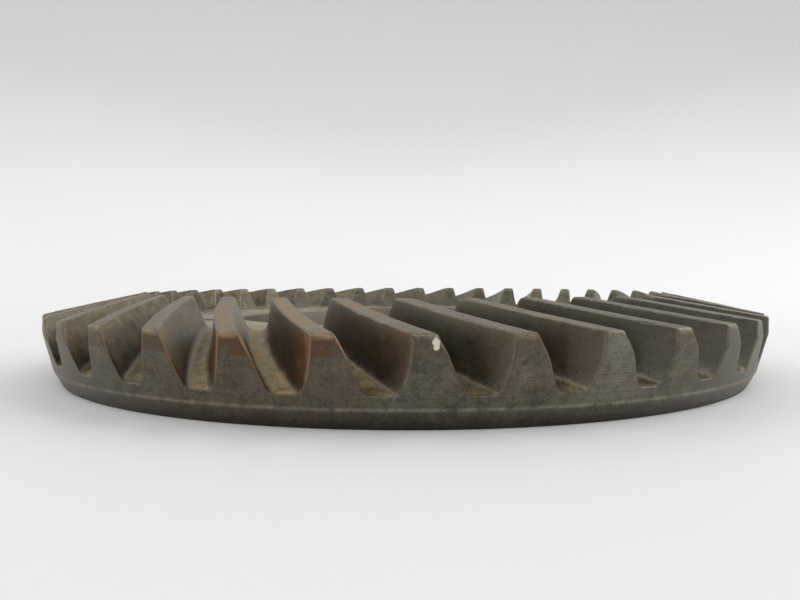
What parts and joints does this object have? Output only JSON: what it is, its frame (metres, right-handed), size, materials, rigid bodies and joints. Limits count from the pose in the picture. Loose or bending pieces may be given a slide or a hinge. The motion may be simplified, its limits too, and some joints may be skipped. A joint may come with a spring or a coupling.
{
  "type": "spiral bevel ring gear",
  "caption": "Spiral bevel ring gear with a flat back face, a pilot bore and a circle of bolt holes; it takes the drive from a bevel pinion.",
  "frame": {"origin": "on the gear's axis, in the plane of its flat back face", "axes": "+Z along the axis, from the back face towards the teeth"},
  "size_m": [0.2698, 0.27, 0.0297],
  "materials": {
    "gear_steel": "worn, oiled forged steel with light rust staining"
  },
  "bodies": {
    "root": {"ring_gear": "gear_steel"}
  },
  "joints": []
}
